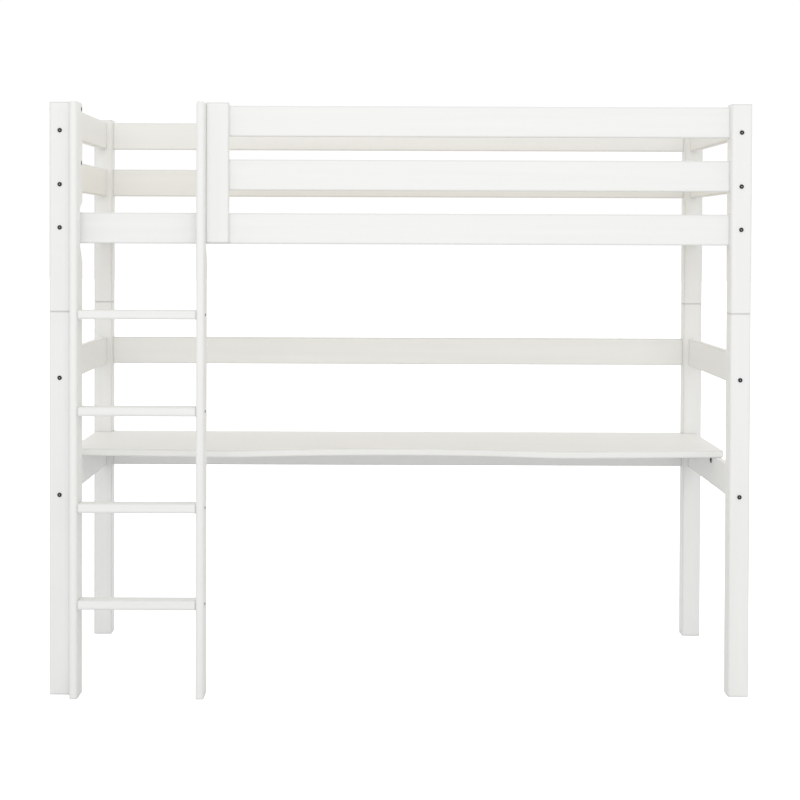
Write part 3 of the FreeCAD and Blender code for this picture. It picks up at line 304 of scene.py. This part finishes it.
def separate_solids(item):
    """The corners of each separate solid in a CAD node's mesh, which itself is left alone."""
    shape = bmesh.new()
    shape.from_mesh(item.data)
    bmesh.ops.remove_doubles(shape, verts=shape.verts, dist=MERGE_DISTANCE)
    found = []
    seen = set()
    for first in shape.verts:
        if first in seen:
            continue
        seen.add(first)
        reached = [first]
        for corner in reached:
            for edge in corner.link_edges:
                other = edge.other_vert(corner)
                if other not in seen:
                    seen.add(other)
                    reached.append(other)
        found.append([corner.co.copy() for corner in reached])
    shape.free()
    return found


def bolt_axis(corners):
    """The middle of a bolt's tip, its direction towards the head, its length and head radius."""
    low = Vector([min(corner[i] for corner in corners) for i in range(3)])
    high = Vector([max(corner[i] for corner in corners) for i in range(3)])
    sides = list(high - low)
    along = sides.index(max(sides))
    radius = min(sides) / 2.0
    middle = (low + high) / 2.0

    def reach(corner):
        away = corner - middle
        away[along] = 0.0
        return away.length

    wide = [corner[along] for corner in corners if reach(corner) > RIM_SHARE * radius]
    sign = 1.0 if sum(wide) / len(wide) > middle[along] else -1.0
    direction = Vector([sign if i == along else 0.0 for i in range(3)])
    tip = middle.copy()
    tip[along] = low[along] if sign > 0 else high[along]
    return tip, direction, sides[along], radius


def hexagon(turn):
    """The radius of a hexagonal socket's wall in the direction of turn."""
    return SOCKET_APOTHEM / math.cos((turn % (math.pi / 3.0)) - math.pi / 6.0)


def add_bolt(shape, corners, shank):
    """Add one detailed bolt to a mesh, where the CAD bolt with these corners is."""
    tip, direction, length, radius = bolt_axis(corners)
    turn_to = direction.to_track_quat("Z", "Y").to_matrix()
    underside = length - HEAD_HEIGHT
    rings = [(0.0, shank - TIP_CHAMFER, False), (TIP_CHAMFER, shank, False),
             (underside, shank, False)]
    for height, share in HEAD_CURVE:
        rings.append((underside + HEAD_HEIGHT * height, radius * share, False))
    rings.append((length, SOCKET_RIM, False))
    rings.append((length - SOCKET_CHAMFER, 0.0, True))
    rings.append((length - SOCKET_DEPTH, 0.0, True))

    rows = []
    for along, ring_radius, is_socket in rings:
        row = []
        for step in range(BOLT_SIDES):
            turn = 2.0 * math.pi * step / BOLT_SIDES
            out = hexagon(turn) if is_socket else ring_radius
            local = Vector((out * math.cos(turn), out * math.sin(turn), along))
            row.append(shape.verts.new(tip + turn_to @ local))
        rows.append(row)
    for index, (lower, upper) in enumerate(zip(rows, rows[1:])):
        in_socket = index >= len(rows) - 2
        for step in range(BOLT_SIDES):
            after = (step + 1) % BOLT_SIDES
            face = shape.faces.new((lower[step], lower[after], upper[after], upper[step]))
            face.smooth = not in_socket
            face.material_index = 1 if in_socket else 0
    shape.faces.new(reversed(rows[0]))
    floor = shape.faces.new(rows[-1])
    floor.material_index = 1


def make_bolts(node, shank):
    """Replace one group of CAD bolts with a mesh of detailed ones."""
    shape = bmesh.new()
    for corners in separate_solids(frame["nodes"][node]):
        add_bolt(shape, corners, shank)
    mesh = bpy.data.meshes.new("detailed_" + node)
    shape.to_mesh(mesh)
    shape.free()
    mesh.materials.append(black_metal)
    mesh.materials.append(worn_socket_and_highlight)
    piece = bpy.data.objects.new("detailed_" + node, mesh)
    bpy.context.scene.collection.objects.link(piece)
    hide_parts(node)
    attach(piece, "root")


for bolt_node, shank_radius in SHANK_RADII.items():
    make_bolts(bolt_node, shank_radius)

# Floor, light and camera.

FLOOR_HALF_SIZE = 60.0
# The backdrop and the floor look white, and light the bed less than they look.
FLOOR_COLOUR = 0.80
FLOOR_ROUGHNESS = 0.9
FLOOR_SPECULAR = 0.1
FLOOR_WHITENESS = 0.75
BACKDROP_WHITENESS = 1.03
ROOM_BEHIND_CAMERA = 0.93
ROOM_BEHIND_BED = 0.98
# The room's light changes from one to the other between these directions, by their Y.
FADE_START = -0.5
FADE_END = 0.2
# The front light stands above and behind the camera.
FRONT_PLACE = (0.0, -7.0, 2.6)
FRONT_TARGET = (0.0, 0.0, 1.6)
FRONT_SIZE = (4.0, 1.6)
FRONT_SPREAD = math.radians(60.0)
FRONT_POWER = 9.4


def make_floor():
    """A wide pale floor, whitened only where the camera sees it."""
    mesh = bpy.data.meshes.new("floor")
    shape = bmesh.new()
    bmesh.ops.create_grid(shape, x_segments=1, y_segments=1, size=FLOOR_HALF_SIZE)
    shape.to_mesh(mesh)
    shape.free()
    floor = bpy.data.objects.new("floor", mesh)
    bpy.context.scene.collection.objects.link(floor)
    made = Nodes("pale_floor")
    made.shader.inputs["Base Color"].default_value = (FLOOR_COLOUR, FLOOR_COLOUR, FLOOR_COLOUR, 1.0)
    made.shader.inputs["Roughness"].default_value = FLOOR_ROUGHNESS
    made.shader.inputs["Specular IOR Level"].default_value = FLOOR_SPECULAR
    made.shader.inputs["Emission Color"].default_value = (1.0, 1.0, 1.0, 1.0)
    seen = made.add("LightPath")
    whiten = made.add("Math", operation="MULTIPLY")
    whiten.inputs[1].default_value = FLOOR_WHITENESS
    made.link(seen.outputs["Is Camera Ray"], whiten.inputs[0])
    made.link(whiten.outputs["Value"], made.shader.inputs["Emission Strength"])
    mesh.materials.append(made.material)


def make_world():
    """A white backdrop all round, and soft light from the room in front of and behind the bed."""
    world = bpy.data.worlds.new("studio")
    world.use_nodes = True
    tree = world.node_tree
    background = tree.nodes["Background"]
    place = tree.nodes.new("ShaderNodeTexCoord")
    split = tree.nodes.new("ShaderNodeSeparateXYZ")
    fade = tree.nodes.new("ShaderNodeMapRange")
    fade.interpolation_type = "SMOOTHSTEP"
    fade.inputs["From Min"].default_value = FADE_START
    fade.inputs["From Max"].default_value = FADE_END
    fade.inputs["To Min"].default_value = ROOM_BEHIND_CAMERA
    fade.inputs["To Max"].default_value = ROOM_BEHIND_BED
    tree.links.new(place.outputs["Generated"], split.inputs["Vector"])
    tree.links.new(split.outputs["Y"], fade.inputs["Value"])
    seen = tree.nodes.new("ShaderNodeLightPath")
    choose = tree.nodes.new("ShaderNodeMix")
    choose.data_type = "FLOAT"
    choose.inputs["B"].default_value = BACKDROP_WHITENESS
    tree.links.new(seen.outputs["Is Camera Ray"], choose.inputs["Factor"])
    tree.links.new(fade.outputs["Result"], choose.inputs["A"])
    tree.links.new(choose.outputs["Result"], background.inputs["Strength"])
    background.inputs["Color"].default_value = (1.0, 1.0, 1.0, 1.0)
    bpy.context.scene.world = world


def soft_light(name, place, target, size, spread, power):
    """A rectangular light that shines from its place towards a target."""
    data = bpy.data.lights.new(name, "AREA")
    data.shape = "RECTANGLE"
    data.size, data.size_y = size
    data.spread = spread
    data.energy = power
    light = bpy.data.objects.new(name, data)
    light.location = place
    aim = Vector(target) - Vector(place)
    light.rotation_euler = aim.to_track_quat("-Z", "Y").to_euler()
    bpy.context.scene.collection.objects.link(light)


def make_camera():
    """A camera that looks along +Y, turned by its pitch, roll and yaw."""
    data = bpy.data.cameras.new("camera")
    data.lens = CAMERA_LENS
    data.shift_x, data.shift_y = CAMERA_SHIFT
    camera = bpy.data.objects.new("camera", data)
    camera.location = CAMERA_PLACE
    camera.rotation_euler = (math.pi / 2.0 - CAMERA_PITCH, -CAMERA_ROLL, -CAMERA_YAW)
    bpy.context.scene.collection.objects.link(camera)
    bpy.context.scene.camera = camera


make_floor()
make_world()
soft_light("front_light", FRONT_PLACE, FRONT_TARGET, FRONT_SIZE, FRONT_SPREAD, FRONT_POWER)
make_camera()
bpy.context.scene.view_settings.view_transform = "Standard"
